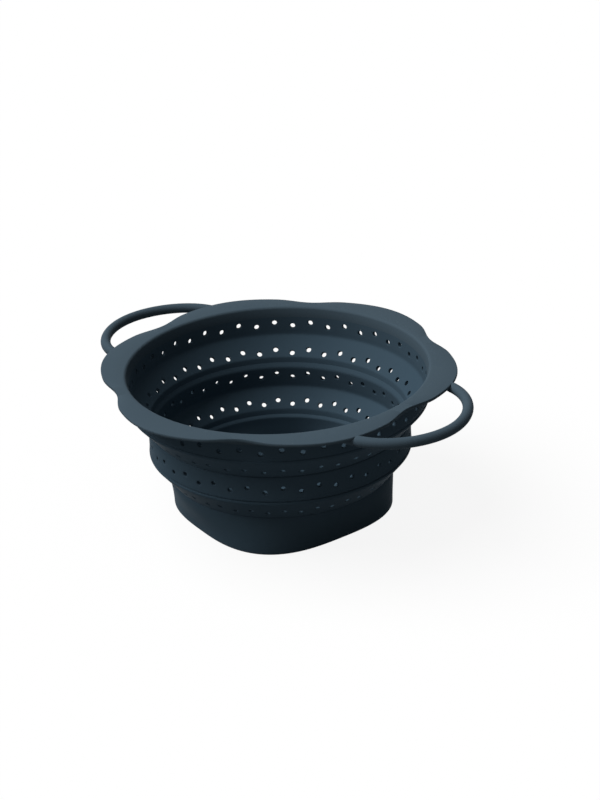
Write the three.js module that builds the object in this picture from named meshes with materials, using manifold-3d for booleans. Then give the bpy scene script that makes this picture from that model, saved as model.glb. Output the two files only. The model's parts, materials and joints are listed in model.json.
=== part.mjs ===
// A round collapsible colander of soft silicone with a petal-edged rim, two wire-cored loop
// handles, four rows of drain holes and a rounded-square base.
//
// Units are millimetres and +Z is up. The origin is the middle of the face that it stands on.
// The handles lie along +X and -X, and the colander is modelled fully open.

import * as THREE from 'three';
import { mergeGeometries, mergeVertices } from 'three/addons/utils/BufferGeometryUtils.js';
import Module from 'manifold-3d';

// Fits
const seatGap = 0.3; // between two neighbouring pieces
const wireClearance = 0.3; // between a steel wire and the silicone round it

// Wall: heights of its zones, from the worktop up
const cupHeight = 28.8;
const stripHeight = 3.8; // of the thin strip on which a fold band stands
const bandRise = 13.3; // of each slanted fold band
const ringHeight = 18.9;
const collarHeight = 20.5; // up to the top of the rim

// Wall: its inner face, from the rim in towards the cup
const bowlRadius = 100.3; // just under the rim
const collarTaper = 1.3;
const upperBandRun = 11.2;
const stripLean = 0.6;
const ringTaper = 0.3;
const lowerBandRun = 10.6;
const wall = 2.6;

// Hinge lines, where the wall is thin so that a band can turn inside out
const stripFootWall = 1.1; // under a band, where its strip stands on the ring or the cup
const grooveWall = 1.5; // over a band, behind the groove outside the wall
const grooveHeight = 0.5;
const grooveFlank = 0.7;
const hingeReach = 2; // how far the piece with the groove reaches along the wall from its corner

// Ledges: the ring and the cup stand a little into the bowl, under the band that they carry
const ledgeDepth = 1.8;
const ringLedgeHeight = 3.3;
const cupLedgeHeight = 1.9;
const shoulder = 0.6; // cut off their top edge outside, by which the ring stands proud of its strip

// Drain holes, from the top row to the bottom one
const holeDiameters = [3.6, 3.7, 3.1, 3.4];
const holeCount = 48; // in one row
const holeTurn = -1.4; // degrees from +X to the first hole of each row
const holeSides = 6;
const rowLifts = [7.5, 3.6, 9.1, 4.2]; // of each row above the lower end of its panel
const rowStaggers = [1.2, 1, 1.4, 1.1]; // every second hole lies this much above and below its row

// Rim
const rimLobes = 6;
const lobeWidth = 20.3; // from the wall's inner face out to the middle of a lobe
const lobeFall = 6.5; // by which a lobe's round edge falls from its middle to its ends
const notchWidth = 10; // from the wall's inner face out to the middle of a notch
const notchHalfWidth = 12.7; // degrees
const rimDepth = 5.6; // thickness over the wall
const rimRoot = 3.9; // width of that thick part outside the wall
const rimRootSlope = 1.4;
const rimEdge = 2.2; // thickness at the outer edge
const rimEdgeTaper = 0.6; // by which the flange is thicker where the slope ends
const rimEdgeRound = 0.7;
const mouthFlare = 1.2;
const mouthRound = 1.8;

// Steel wires
const wireDiameter = 2.4;
const rimWireInset = 4.1; // from the wall's inner face out to the ring of wire
const rimWireDepth = 2.6; // its middle below the top of the rim
const locatorDiameter = 2.6; // pin holes under the rim, left where the wire was held in the mould

// Handles
const handleDiameter = 7;
const handleRootAngle = 23.7; // degrees, from +X round to the end of the rod
const handleRootInset = 0.4; // of the rod's end, inside the edge of the rim
const loopReach = 36.2; // from the ends of the rod out to the tip of the loop
const handleRootLean = 11; // degrees by which the rod turns towards X where it leaves the rim
const loopPull = 0.55; // share of the reach over which the rod keeps its lean
const loopHold = 0.48; // share of the root's distance from the axis at which the tip's bend starts
const handleAnchor = 12; // length of wire and rib inside the rim
const ribInset = 0.1; // keeps the rib inside the rim just under its top face
const handleSides = 8;
const handleSteps = 20;

// Base
const cupWall = 2.6;
const baseInset = 8.1; // from the cup's round top in to the flats of its foot
const baseSquareness = 2.85; // 2 is a circle, and higher is squarer
const baseTurn = 32.4; // degrees from +X to the first corner
const baseEdgeRound = 1;
const footWidth = 13; // of the ring that it stands on
const footHeight = 2;
const floorThickness = 2;
const floorHoleDiameter = 5;
const floorRings = 3; // of holes round the middle one
const floorEdge = 9; // between the outer holes and the foot ring

// Facets
const flatTolerance = 0.002; // facets of a cut face that lie this close to one plane are one
const wallSides = holeCount;
const rimSides = 72;
const cupSides = 40;

const silicone = { color: 0x26343f, roughness: 0.62, metalness: 0 };
const siliconeTop = { color: 0x2b3a45, roughness: 0.62, metalness: 0 };
const siliconeFold = { color: 0x202d37, roughness: 0.66, metalness: 0 };
const steel = { color: 0xb9bcbe, roughness: 0.35, metalness: 1 };

const manifold = await Module();
manifold.setup();

const degrees = THREE.MathUtils.degToRad;
const at = (radius, height) => new THREE.Vector2(radius, height);

// Keeps only positions and joins vertices that coincide, so that the surface is closed.
function weld(geometry) {
  geometry.deleteAttribute('normal');
  geometry.deleteAttribute('uv');
  return mergeVertices(geometry);
}

function toSolid(geometry) {
  const welded = weld(geometry);
  const mesh = new manifold.Mesh({
    numProp: 3,
    vertProperties: new Float32Array(welded.attributes.position.array),
    triVerts: new Uint32Array(welded.index.array),
  });
  return new manifold.Manifold(mesh);
}

function toGeometry(solid) {
  const mesh = solid.asOriginal().simplify(flatTolerance).getMesh();
  const geometry = new THREE.BufferGeometry();
  geometry.setAttribute('position', new THREE.BufferAttribute(mesh.vertProperties, 3));
  geometry.setIndex(new THREE.BufferAttribute(mesh.triVerts, 1));
  return geometry;
}

// Turns a closed section of radius and height about +Z. The section runs up its outer side.
// A facet, not an edge, faces +X, so that a row of holes falls in the middle of the facets.
function revolve(section, sides) {
  const closed = [...section, section[0].clone()];
  const turned = new THREE.LatheGeometry(closed, sides).rotateX(Math.PI / 2);
  return weld(turned.rotateZ(Math.PI / sides));
}

// Moves each vertex outwards or inwards by shift(angle, radius, height).
function reshape(geometry, shift) {
  const position = geometry.attributes.position;
  for (let i = 0; i < position.count; i += 1) {
    const x = position.getX(i);
    const y = position.getY(i);
    const radius = Math.hypot(x, y);
    const scale = 1 + shift(Math.atan2(y, x), radius, position.getZ(i)) / radius;
    position.setXY(i, x * scale, y * scale);
  }
  return geometry;
}

// Wall line, from the rim down

const rimTop = cupHeight + ringHeight + collarHeight + 2 * (stripHeight + bandRise);

const inAndDown = (from, run, drop) => at(from.x - run, from.y - drop);

const collarTop = at(bowlRadius, rimTop - rimDepth);
const upperFold = at(bowlRadius - collarTaper, rimTop - collarHeight);
const upperStrip = inAndDown(upperFold, upperBandRun, bandRise);
const ringTop = inAndDown(upperStrip, stripLean, stripHeight);
const ringLedge = inAndDown(ringTop, ledgeDepth, ringLedgeHeight);
const ringFoot = inAndDown(ringTop, ringTaper, ringHeight);
const lowerStrip = inAndDown(ringFoot, lowerBandRun, bandRise);
const cupTop = inAndDown(lowerStrip, stripLean, stripHeight);
const cupLedge = inAndDown(cupTop, ledgeDepth, cupLedgeHeight);

// The point on the way from one point to another, at a distance from the first.
function along(from, to, distance) {
  return from.clone().lerp(to, distance / from.distanceTo(to));
}

// The direction across the wall, away from the axis, where the wall runs down from one point
// to the next.
function acrossWall(from, to) {
  const down = to.clone().sub(from).normalize();
  return at(-down.y, down.x);
}

// A band of wall whose inner face follows a line downwards. Its outer face keeps the thickness,
// with mitred corners, and its ends are square to the line.
function bandSection(line, thickness) {
  const outer = line.map((point, i) => {
    const before = i > 0 ? acrossWall(line[i - 1], point) : null;
    const after = i < line.length - 1 ? acrossWall(point, line[i + 1]) : null;
    const first = before ?? after;
    const second = after ?? before;
    const mitre = first.clone().add(second).divideScalar(1 + first.dot(second));
    return point.clone().addScaledVector(mitre, thickness);
  });
  return [...outer.reverse(), ...line];
}

// One row of drain holes, as rods square to the wall. Every second hole is set up the wall, and
// those between are set down it.
function drainRods(from, to, row) {
  const middle = to.clone().lerp(from, rowLifts[row] / (from.y - to.y));
  const across = acrossWall(from, to);
  const up = from.clone().sub(to).normalize();
  const radius = holeDiameters[row] / 2;
  const rods = [];
  for (let i = 0; i < holeCount; i += 1) {
    const side = i % 2 === 0 ? 1 : -1;
    const centre = middle.clone().addScaledVector(up, (side * rowStaggers[row]) / up.y);
    centre.addScaledVector(across, wall / 2);
    const rod = new THREE.CylinderGeometry(radius, radius, 4 * wall, holeSides);
    rod.rotateZ(Math.PI / 2 + Math.atan2(across.y, across.x));
    rod.translate(centre.x, centre.y, 0);
    rod.rotateX(Math.PI / 2);
    rod.rotateZ(degrees(holeTurn) + (i * 2 * Math.PI) / holeCount);
    rods.push(weld(rod));
  }
  return toSolid(mergeGeometries(rods));
}

// A band of the wall with one row of drain holes in the panel between two points.
function drainBand(section, from, to, row) {
  const band = toSolid(revolve(section, wallSides));
  return toGeometry(band.subtract(drainRods(from, to, row)));
}

// Wall pieces

const hingeEnd = hingeReach + seatGap;

function collarWall() {
  const line = [collarTop, along(upperFold, collarTop, hingeEnd)];
  const section = bandSection(line, wall);
  section[section.length / 2 - 1].y = collarTop.y;
  return drainBand(section, collarTop, upperFold, 0);
}

function foldBand(fold, strip, row) {
  const line = [along(fold, strip, hingeEnd), along(strip, fold, seatGap)];
  return drainBand(bandSection(line, wall), fold, strip, row);
}

function middleRing() {
  const top = ringTop.y - seatGap;
  const outerTop = ringTop.x + stripFootWall + shoulder;
  const foot = along(ringFoot, ringLedge, hingeEnd);
  const section = [
    foot.clone().addScaledVector(acrossWall(ringLedge, ringFoot), wall),
    at(outerTop, top - shoulder),
    at(outerTop - shoulder, top),
    at(ringTop.x, top),
    ringLedge,
    foot,
  ];
  return drainBand(section, ringLedge, ringFoot, 2);
}

// The corner over a fold band. A groove outside the wall makes it thin.
function grooveRing(above, fold, below) {
  const across = acrossWall(above, fold);
  const up = (distance, depth) => along(fold, above, distance).addScaledVector(across, depth);
  const line = [up(hingeReach, 0), fold, along(fold, below, hingeReach)];
  const [foot, corner] = bandSection(line, wall);
  const grooveFoot = hingeReach - grooveHeight;
  const section = [
    foot,
    corner,
    up(grooveFoot - grooveFlank, wall),
    up(grooveFoot, grooveWall),
    up(hingeReach, grooveWall),
    ...line,
  ];
  return revolve(section, wallSides);
}

// The strip under a fold band. It goes on from the band's outer face, and thins towards its foot.
function stripRing(fold, strip, foot) {
  const outerTop = strip.clone().addScaledVector(acrossWall(fold, strip), wall);
  const outerFoot = at(foot.x + stripFootWall, foot.y);
  return revolve([outerFoot, outerTop, strip, foot], wallSides);
}

// Base

const cupOuterRadius = cupTop.x + stripFootWall;
const cupInnerRadius = cupOuterRadius - cupWall;
const baseHalfWidth = cupOuterRadius - baseInset;

// The distance from the axis to the base's rounded-square outline.
function baseOutline(angle) {
  const turned = angle - degrees(baseTurn) + Math.PI / 4;
  const sum = Math.abs(Math.cos(turned)) ** baseSquareness
    + Math.abs(Math.sin(turned)) ** baseSquareness;
  return baseHalfWidth / sum ** (1 / baseSquareness);
}

// How far the cup has gone from its round top to its rounded-square foot at a height.
function cupShift(angle, radius, height) {
  const share = 1 - THREE.MathUtils.smoothstep(height, 0, cupHeight);
  return share * (baseOutline(angle) - cupOuterRadius);
}

function baseCup() {
  const top = cupHeight - seatGap;
  const round = [0, 45, 90].map((turn) => {
    const swing = degrees(turn);
    const radius = cupOuterRadius - baseEdgeRound * (1 - Math.sin(swing));
    return at(radius, baseEdgeRound * (1 - Math.cos(swing)));
  });
  const section = [
    ...round,
    ...[0.4, 0.7].map((share) => at(cupOuterRadius, share * top)),
    at(cupOuterRadius, top - shoulder),
    at(cupOuterRadius - shoulder, top),
    at(cupTop.x, top),
    cupLedge,
    ...[0.7, 0.4].map((share) => at(cupInnerRadius, share * top)),
    at(cupInnerRadius, footHeight),
    at(cupOuterRadius - footWidth, footHeight),
    at(cupOuterRadius - footWidth, 0),
  ];
  return reshape(revolve(section, cupSides), cupShift);
}

// The drain floor is a plate on the foot ring, with rings of holes round a middle one.
function baseFloor() {
  const outline = [];
  for (let i = 0; i < cupSides; i += 1) {
    const angle = ((i + 0.5) * 2 * Math.PI) / cupSides;
    const radius = cupInnerRadius + cupShift(angle, 0, footHeight) - seatGap;
    outline.push(at(radius * Math.cos(angle), radius * Math.sin(angle)));
  }
  const plate = new THREE.Shape(outline);
  const reach = baseHalfWidth - footWidth - floorEdge - floorHoleDiameter / 2;
  for (let ring = 0; ring <= floorRings; ring += 1) {
    const count = Math.max(1, ring * 6);
    for (let i = 0; i < count; i += 1) {
      const angle = degrees(baseTurn) + (i * 2 * Math.PI) / count;
      const hole = new THREE.Path();
      const away = (ring / floorRings) * reach;
      const x = away * Math.cos(angle);
      const y = away * Math.sin(angle);
      hole.absellipse(x, y, floorHoleDiameter / 2, floorHoleDiameter / 2, 0, 2 * Math.PI, true);
      plate.holes.push(hole);
    }
  }
  const settings = { depth: floorThickness, bevelEnabled: false, curveSegments: holeSides / 2 };
  return weld(new THREE.ExtrudeGeometry(plate, settings).translate(0, 0, footHeight));
}

// Outline of the rim

const lobeRadius = bowlRadius + lobeWidth;
const notchRadius = bowlRadius + notchWidth;

// The distance from the axis to the rim's petal edge. The notches face the handles.
function rimOutline(angle) {
  const pitch = (2 * Math.PI) / rimLobes;
  const off = Math.abs(angle - pitch * Math.round(angle / pitch));
  const dip = (halfWidth) => 0.5 + 0.5 * Math.cos(Math.min(off / halfWidth, 1) * Math.PI);
  const notchDepth = lobeRadius - lobeFall - notchRadius;
  return lobeRadius - lobeFall * dip(pitch / 2) - notchDepth * dip(degrees(notchHalfWidth));
}

// Handles

const rootRadius = rimOutline(degrees(handleRootAngle)) - handleRootInset;
const handleRoot = new THREE.Vector3(
  rootRadius * Math.cos(degrees(handleRootAngle)),
  rootRadius * Math.sin(degrees(handleRootAngle)),
  rimTop - handleDiameter / 2,
);

// The rod's middle line, from inside the rim out round the loop and back. The loop on +X.
function handlePath(inside) {
  const lean = degrees(handleRootLean);
  const pull = loopPull * loopReach;
  const tipX = handleRoot.x + loopReach;
  const point = (x, y) => new THREE.Vector3(x, y, handleRoot.z);
  const path = new THREE.CurvePath();
  for (const side of [1, -1]) {
    const outward = (distance) => point(
      handleRoot.x + distance * Math.cos(lean),
      side * (handleRoot.y - distance * Math.sin(lean)),
    );
    const root = outward(0);
    const leave = outward(pull);
    const turn = point(tipX, side * loopHold * handleRoot.y);
    const tip = point(tipX, 0);
    const back = outward(-inside);
    if (side === 1) {
      if (inside > 0) path.add(new THREE.LineCurve3(back, root));
      path.add(new THREE.CubicBezierCurve3(root, leave, turn, tip));
    } else {
      path.add(new THREE.CubicBezierCurve3(tip, turn, leave, root));
      if (inside > 0) path.add(new THREE.LineCurve3(root, back));
    }
  }
  return path;
}

function circle(diameter, sides) {
  const points = [];
  for (let i = 0; i < sides; i += 1) {
    const angle = ((i + 0.5) * 2 * Math.PI) / sides;
    points.push(at((diameter / 2) * Math.cos(angle), (diameter / 2) * Math.sin(angle)));
  }
  return points;
}

// A rod or a tube along the handle's path.
function handleSweep(diameter, bore, inside, sides) {
  const shape = new THREE.Shape(circle(diameter, sides));
  if (bore > 0) shape.holes.push(new THREE.Path(circle(bore, 6)));
  const settings = { steps: handleSteps, bevelEnabled: false, extrudePath: handlePath(inside) };
  return weld(new THREE.ExtrudeGeometry(shape, settings));
}

const sleeveBore = wireDiameter + 2 * wireClearance;

function handleSleeve() {
  return handleSweep(handleDiameter, sleeveBore, 0, handleSides);
}

function handleCore() {
  return handleSweep(wireDiameter, 0, handleAnchor - seatGap, 6);
}

// Rim

// Draws the flange in towards the notches, and leaves the mouth round.
function rimShift(angle, radius) {
  const start = bowlRadius + wall + 1;
  const share = Math.max(0, (radius - start) / (lobeRadius - start));
  return share * (rimOutline(angle) - lobeRadius);
}

const rimWireMiddle = at(bowlRadius + rimWireInset, rimTop - rimWireDepth);

function wireRing(diameter) {
  return revolve(circle(diameter, 6).map((point) => point.add(rimWireMiddle)), rimSides / 2);
}

// The part of the handle's rod that is moulded into the rim, as a rib under the flange.
function handleRibs() {
  const ribs = [];
  for (const side of [1, -1]) {
    for (const end of [1, -1]) {
      const lean = degrees(handleRootLean);
      const radius = handleDiameter / 2 - ribInset;
      const rib = new THREE.CapsuleGeometry(radius, handleAnchor, 3, handleSides);
      rib.rotateZ(Math.PI / 2).translate(-handleAnchor / 2, 0, 0).rotateZ(-lean);
      rib.translate(handleRoot.x, handleRoot.y, handleRoot.z).scale(side, end, 1);
      if (side * end < 0) flipFaces(rib);
      ribs.push(toSolid(rib));
    }
  }
  return ribs;
}

function flipFaces(geometry) {
  const index = geometry.index;
  for (let i = 0; i < index.count; i += 3) {
    const first = index.getX(i);
    index.setX(i, index.getX(i + 1));
    index.setX(i + 1, first);
  }
}

function turned(geometry, angle) {
  return geometry.clone().rotateZ(angle);
}

function rimFlange() {
  const seam = rimTop - rimDepth;
  const wallOutside = bowlRadius + wall;
  const mouth = bowlRadius + mouthFlare;
  const edge = rimTop - rimEdge;
  const section = [
    at(wallOutside, seam),
    at(wallOutside + rimRoot, seam),
    at(wallOutside + rimRoot + rimRootSlope, edge - rimEdgeTaper),
    at(lobeRadius - rimEdgeRound, edge),
    at(lobeRadius, edge + rimEdgeRound),
    at(lobeRadius, rimTop - rimEdgeRound),
    at(lobeRadius - rimEdgeRound, rimTop),
    at(mouth + mouthRound, rimTop),
    at(mouth + 0.3 * mouthRound, rimTop - 0.3 * mouthRound),
    at(mouth, rimTop - mouthRound),
    at(bowlRadius, seam),
  ];
  let flange = toSolid(reshape(revolve(section, rimSides), rimShift));
  for (const rib of handleRibs()) flange = flange.add(rib);
  for (const angle of [0, Math.PI]) {
    const rod = handleSweep(handleDiameter + 2 * seatGap, 0, seatGap, handleSides);
    const core = handleSweep(sleeveBore, 0, handleAnchor, 6);
    flange = flange.subtract(toSolid(turned(rod, angle)));
    flange = flange.subtract(toSolid(turned(core, angle)));
  }
  flange = flange.subtract(toSolid(wireRing(sleeveBore)));
  for (let i = 0; i < rimLobes; i += 1) {
    const pin = new THREE.CylinderGeometry(locatorDiameter / 2, locatorDiameter / 2, rimDepth, 6);
    pin.rotateX(Math.PI / 2);
    pin.translate(rimWireMiddle.x, 0, rimWireMiddle.y - rimDepth / 2);
    pin.rotateZ(((i + 0.5) * 2 * Math.PI) / rimLobes);
    flange = flange.subtract(toSolid(pin));
  }
  return toGeometry(flange);
}

// Assembly

const colander = new THREE.Group();

function place(name, geometry, finish, parent) {
  const mesh = new THREE.Mesh(geometry, new THREE.MeshStandardMaterial(finish));
  mesh.name = name;
  parent.add(mesh);
  return mesh;
}

const base = new THREE.Group();
const ring = new THREE.Group();
const rim = new THREE.Group();
colander.add(base, ring, rim);

place('base_cup', baseCup(), silicone, base);
place('base_floor', baseFloor(), silicone, base);
place('base_hinge', stripRing(ringFoot, lowerStrip, cupTop), siliconeFold, base);
place('lower_fold_band', foldBand(ringFoot, lowerStrip, 3), siliconeFold, base);

place('ring_foot_hinge', grooveRing(ringLedge, ringFoot, lowerStrip), siliconeFold, ring);
place('middle_ring', middleRing(), silicone, ring);
place('ring_top_hinge', stripRing(upperFold, upperStrip, ringTop), siliconeFold, ring);

place('upper_fold_band', foldBand(upperFold, upperStrip, 1), siliconeFold, rim);
place('collar_hinge', grooveRing(collarTop, upperFold, upperStrip), siliconeFold, rim);
place('collar_wall', collarWall(), silicone, rim);
place('rim_flange', rimFlange(), siliconeTop, rim);
place('rim_wire', wireRing(wireDiameter), steel, rim);

for (const [side, angle] of [['right', 0], ['left', Math.PI]]) {
  const handle = new THREE.Group();
  handle.rotation.z = angle;
  rim.add(handle);
  place(`${side}_handle_sleeve`, handleSleeve(), siliconeTop, handle);
  place(`${side}_handle_wire`, handleCore(), steel, handle);
}

export default colander;
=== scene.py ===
"""Dresses a packed collapsible colander in smooth moulded silicone.

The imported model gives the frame: its pieces, bodies and joints, in metres with +Z up. Each piece of
its wall, rim and handles gets a finely modelled skin here, made in millimetres and scaled to metres
at the end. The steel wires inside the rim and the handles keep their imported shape.
"""

from __future__ import annotations

import json
import logging
import math
from collections.abc import Callable
from dataclasses import dataclass, field, replace
from enum import Enum

import bmesh
import bpy
from mathutils import Matrix, Vector

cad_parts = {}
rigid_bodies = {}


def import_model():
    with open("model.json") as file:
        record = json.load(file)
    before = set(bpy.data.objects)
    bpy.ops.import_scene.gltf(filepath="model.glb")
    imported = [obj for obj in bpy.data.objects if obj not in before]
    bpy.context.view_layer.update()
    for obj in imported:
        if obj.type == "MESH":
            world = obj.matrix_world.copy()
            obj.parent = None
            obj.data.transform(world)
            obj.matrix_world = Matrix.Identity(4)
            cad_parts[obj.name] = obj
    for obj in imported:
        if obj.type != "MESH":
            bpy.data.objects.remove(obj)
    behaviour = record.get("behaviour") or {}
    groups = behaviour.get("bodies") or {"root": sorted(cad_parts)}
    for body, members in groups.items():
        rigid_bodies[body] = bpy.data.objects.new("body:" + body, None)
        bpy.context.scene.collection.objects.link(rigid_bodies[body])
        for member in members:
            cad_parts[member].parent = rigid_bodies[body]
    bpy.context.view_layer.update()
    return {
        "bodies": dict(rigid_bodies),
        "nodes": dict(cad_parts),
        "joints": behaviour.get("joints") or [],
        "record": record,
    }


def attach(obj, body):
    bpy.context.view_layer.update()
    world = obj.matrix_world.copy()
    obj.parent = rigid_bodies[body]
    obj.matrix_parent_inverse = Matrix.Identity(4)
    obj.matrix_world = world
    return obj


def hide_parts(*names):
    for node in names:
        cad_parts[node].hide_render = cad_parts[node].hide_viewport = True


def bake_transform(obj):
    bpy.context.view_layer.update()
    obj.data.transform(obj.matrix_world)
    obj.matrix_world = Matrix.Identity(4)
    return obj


log = logging.getLogger("colander")

MM = 0.001
TURN = 2 * math.pi
COLUMNS = 384  # steps round the bowl, so that neighbouring skins share their edges
MERGE = 0.002  # the distance in millimetres within which vertices become one
LEVEL = 0.0001  # the most that a level edge rises, in millimetres
SHARP = 1.0  # the least angle of a sharp edge, in radians
HOLE_SIDES = 24  # of the small holes in the floor and under the rim
ROUND_SEGMENTS = 4  # per millimetre of a rounding on a spun section, and three at least

Point = tuple[float, float]
Mesh = bmesh.types.BMesh
Vert = bmesh.types.BMVert
Edge = bmesh.types.BMEdge
Inputs = dict[str | int, object]  # values or output sockets, by an input's name or number


class Part(Enum):
    """The three parts of the colander that move against each other."""

    BASE = "base"
    RING = "ring"
    RIM = "rim"


class Slot(Enum):
    """The record's material slots."""

    WALL = "silicone_wall"
    RIM = "silicone_rim"
    FOLD = "silicone_fold"
    WIRE = "steel_wire"


def linear(code: str) -> tuple[float, float, float, float]:
    """Turns an sRGB colour into linear light.

    Args:
        code: the colour as six hex digits, such as "223949".

    Returns:
        The linear red, green and blue, and an alpha of 1.
    """
    values = [int(code[i : i + 2], 16) / 255 for i in (0, 2, 4)]
    red, green, blue = (v / 12.92 if v <= 0.04045 else ((v + 0.055) / 1.055) ** 2.4 for v in values)
    return (red, green, blue, 1.0)


def feed(node: bpy.types.Node, inputs: Inputs) -> None:
    """Sets and links a shader node's input sockets.

    Args:
        node: the node.
        inputs: a value, or an output socket to link, for each.
    """
    for name, value in inputs.items():
        if isinstance(value, bpy.types.NodeSocket):
            node.id_data.links.new(value, node.inputs[name])
        else:
            node.inputs[name].default_value = value


def add_node(
    tree: bpy.types.NodeTree,
    kind: str,
    settings: dict[str, object] | None = None,
    inputs: Inputs | None = None,
) -> bpy.types.Node:
    """Adds a shader node.

    Args:
        tree: the node tree that the node goes into.
        kind: the node's type, such as "ShaderNodeTexNoise".
        settings: properties of the node, by name.
        inputs: what goes into its input sockets.

    Returns:
        The new node.
    """
    node = tree.nodes.new(kind)
    for name, value in (settings or {}).items():
        setattr(node, name, value)
    feed(node, inputs or {})
    return node


def new_material(name: str, colour: str) -> bpy.types.Material:
    """Makes a material with its default nodes.

    Args:
        name: the material's name.
        colour: the colour that it shows where it isn't rendered, as six hex digits.

    Returns:
        The new material.
    """
    material = bpy.data.materials.new(name)
    material.use_nodes = True
    material.diffuse_color = linear(colour)
    return material


@dataclass(frozen=True)
class MouldedSilicone:
    """Food-grade silicone rubber, compression moulded in a finely blasted steel mould.

    The blasted mould leaves an even matt grain, so that the rubber looks deep and dark from every
    side, with next to no gloss and sheen. Handling leaves faint cloudy patches.
    """

    name: str
    colour: str
    cloud_colour: str
    roughness: float = 0.5
    roughness_spread: float = 0.03
    ior: float = 1.41
    gloss: float = 0.004
    sheen: float = 0.02
    sheen_roughness: float = 0.35
    grain_mm: float = 0.9  # drawn three times as coarse as the real one, so that it shows
    grain_depth_mm: float = 0.012
    cloud_mm: float = 45.0
    cloud_range: tuple[float, float] = (0.3, 0.7)  # of nearly all of the noise's values

    def build(self) -> bpy.types.Material:
        """Makes the material.

        Returns:
            The new material.
        """
        material = new_material(self.name, self.colour)
        tree = material.node_tree
        place = add_node(tree, "ShaderNodeTexCoord").outputs["Object"]
        clouds, grain = (
            add_node(
                tree,
                "ShaderNodeTexNoise",
                inputs={"Vector": place, "Scale": 1 / (size * MM), "Detail": detail},
            ).outputs["Fac"]
            for size, detail in ((self.cloud_mm, 3.0), (self.grain_mm, 2.0))
        )
        colour = add_node(
            tree,
            "ShaderNodeMix",
            {"data_type": "RGBA"},
            {"Factor": clouds, "A": linear(self.colour), "B": linear(self.cloud_colour)},
        )
        rough = add_node(
            tree,
            "ShaderNodeMapRange",
            inputs={
                "Value": clouds,
                "From Min": self.cloud_range[0],
                "From Max": self.cloud_range[1],
                "To Min": self.roughness - self.roughness_spread,
                "To Max": self.roughness + self.roughness_spread,
            },
        )
        bump = add_node(
            tree,
            "ShaderNodeBump",
            inputs={"Height": grain, "Distance": self.grain_depth_mm * MM, "Strength": 1.0},
        )
        feed(
            tree.nodes["Principled BSDF"],
            {
                "Base Color": colour.outputs["Result"],
                "Roughness": rough.outputs["Result"],
                "Normal": bump.outputs["Normal"],
                "IOR": self.ior,
                "Specular IOR Level": self.gloss,
                "Sheen Weight": self.sheen,
                "Sheen Roughness": self.sheen_roughness,
            },
        )
        return material


@dataclass(frozen=True)
class DrawnSteel:
    """Stainless steel wire, drawn through a die, which leaves fine lines and a grey lustre."""

    name: str = "drawn_stainless_steel"
    colour: str = "c9cbcc"
    roughness: float = 0.3
    roughness_spread: float = 0.08
    line_mm: float = 0.4

    def build(self) -> bpy.types.Material:
        """Makes the material.

        Returns:
            The new material.
        """
        material = new_material(self.name, self.colour)
        tree = material.node_tree
        place = add_node(tree, "ShaderNodeTexCoord").outputs["Object"]
        lines = add_node(
            tree,
            "ShaderNodeTexNoise",
            inputs={"Vector": place, "Scale": 1 / (self.line_mm * MM), "Detail": 2.0},
        )
        rough = add_node(
            tree,
            "ShaderNodeMapRange",
            inputs={
                "Value": lines.outputs["Fac"],
                "To Min": self.roughness - self.roughness_spread,
                "To Max": self.roughness + self.roughness_spread,
            },
        )
        feed(
            tree.nodes["Principled BSDF"],
            {
                "Base Color": linear(self.colour),
                "Metallic": 1.0,
                "Roughness": rough.outputs["Result"],
            },
        )
        return material


def new_object(name: str, data: bpy.types.ID) -> bpy.types.Object:
    """Makes an object and links it to the scene.

    Args:
        name: the object's name.
        data: its mesh, lamp or camera data.

    Returns:
        The new object, at the origin.
    """
    made = bpy.data.objects.new(name, data)
    bpy.context.scene.collection.objects.link(made)
    return made


def stored(name: str, mesh: Mesh) -> bpy.types.Mesh:
    """Moves a bmesh into new mesh data.

    Args:
        name: the data's name.
        mesh: the bmesh, which is freed.

    Returns:
        The new data.
    """
    data = bpy.data.meshes.new(name)
    mesh.to_mesh(data)
    mesh.free()
    return data


@dataclass
class Workshop:
    """Turns finished bmeshes into pieces of the part, with their material, slot and ride."""

    frame: dict
    finishes: dict[Slot, bpy.types.Material]
    smooth_below: float = math.radians(38)

    def finish(
        self,
        node: str,
        mesh: Mesh,
        slot: Slot,
        part: Part | None = None,
        turn: float = 0.0,
        name: str = "",
    ) -> bpy.types.Object:
        """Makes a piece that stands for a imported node.

        Args:
            node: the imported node.
            mesh: the piece's mesh in millimetres, which is freed.
            slot: the material slot that it takes its finish from.
            part: the part that it moves with, unless it turns inside out between two.
            turn: the angle by which the mesh is turned about +Z.
            name: the piece's name, if it isn't the node's.

        Returns:
            The new object, at the origin.
        """
        matrix = Matrix.Rotation(turn, 3, "Z")
        bmesh.ops.rotate(mesh, cent=(0, 0, 0), matrix=matrix, verts=mesh.verts)
        bmesh.ops.remove_doubles(mesh, verts=mesh.verts, dist=MERGE)
        bmesh.ops.recalc_face_normals(mesh, faces=mesh.faces)
        bmesh.ops.scale(mesh, vec=(MM, MM, MM), verts=mesh.verts)
        name = f"{name or node}_skin"
        data = stored(name, mesh)
        data.polygons.foreach_set("use_smooth", [True] * len(data.polygons))
        data.set_sharp_from_angle(angle=self.smooth_below)
        data.materials.append(self.finishes[slot])
        piece = new_object(name, data)
        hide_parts(node)
        if part is not None:
            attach(piece, part.value)
        log.info("%s stands for %s, %d faces", name, node, len(data.polygons))
        return piece

    def dress(self, node: str, slot: Slot) -> None:
        """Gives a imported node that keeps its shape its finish.

        Args:
            node: the node's name.
            slot: the slot whose material it gets.
        """
        obj = self.frame["nodes"][node]
        obj.data.materials.clear()
        obj.data.materials.append(self.finishes[slot])
        log.info("%s keeps its packed shape", node)


def whole(mesh: Mesh) -> list[object]:
    """Gives all of a mesh, vertices first, so that an operator copies them in their order."""
    return mesh.verts[:] + mesh.edges[:] + mesh.faces[:]


def verts_of(geom: list[object]) -> list[Vert]:
    """Picks the vertices out of what an operator made."""
    return [g for g in geom if isinstance(g, Vert)]


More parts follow.
